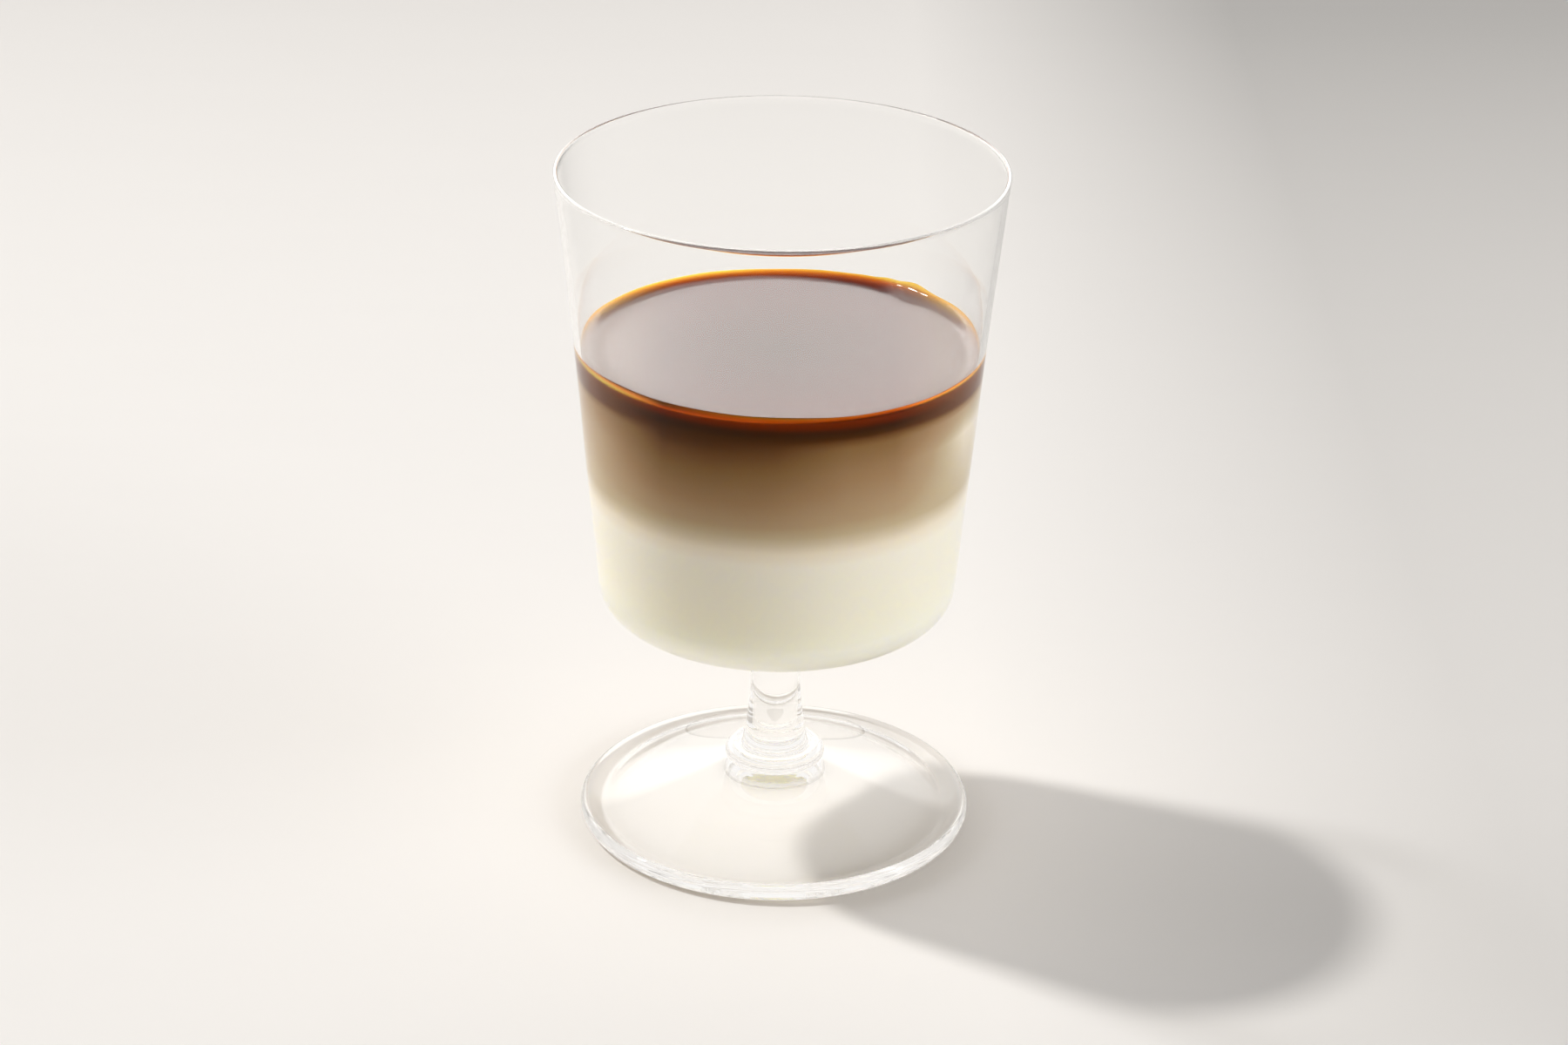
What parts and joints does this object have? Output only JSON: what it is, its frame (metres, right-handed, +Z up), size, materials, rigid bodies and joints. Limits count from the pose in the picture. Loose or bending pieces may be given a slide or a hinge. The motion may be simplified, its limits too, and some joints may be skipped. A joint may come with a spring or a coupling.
{
  "type": "iced coffee",
  "caption": "Layered iced coffee in a clear goblet with a short stem and a round foot: milk at the bottom, milky coffee above it and black coffee on top.",
  "frame": {"origin": "centre of the foot's underside, on the plane that the glass stands on", "axes": "+Z up along the axis of the glass; the part is round, so +X and +Y have no marked side"},
  "size_m": [0.0826, 0.0826, 0.131],
  "materials": {
    "clear_glass": "clear, colourless, fire-polished",
    "milk": "opaque warm white liquid",
    "milky_coffee": "cloudy tan to brown liquid, darker towards the top",
    "black_coffee": "dark clear liquid with a mirror-like surface, orange-brown where it is thin"
  },
  "bodies": {
    "root": {"goblet": "clear_glass", "milk": "milk", "milky_coffee": "milky_coffee", "black_coffee": "black_coffee"}
  },
  "joints": []
}
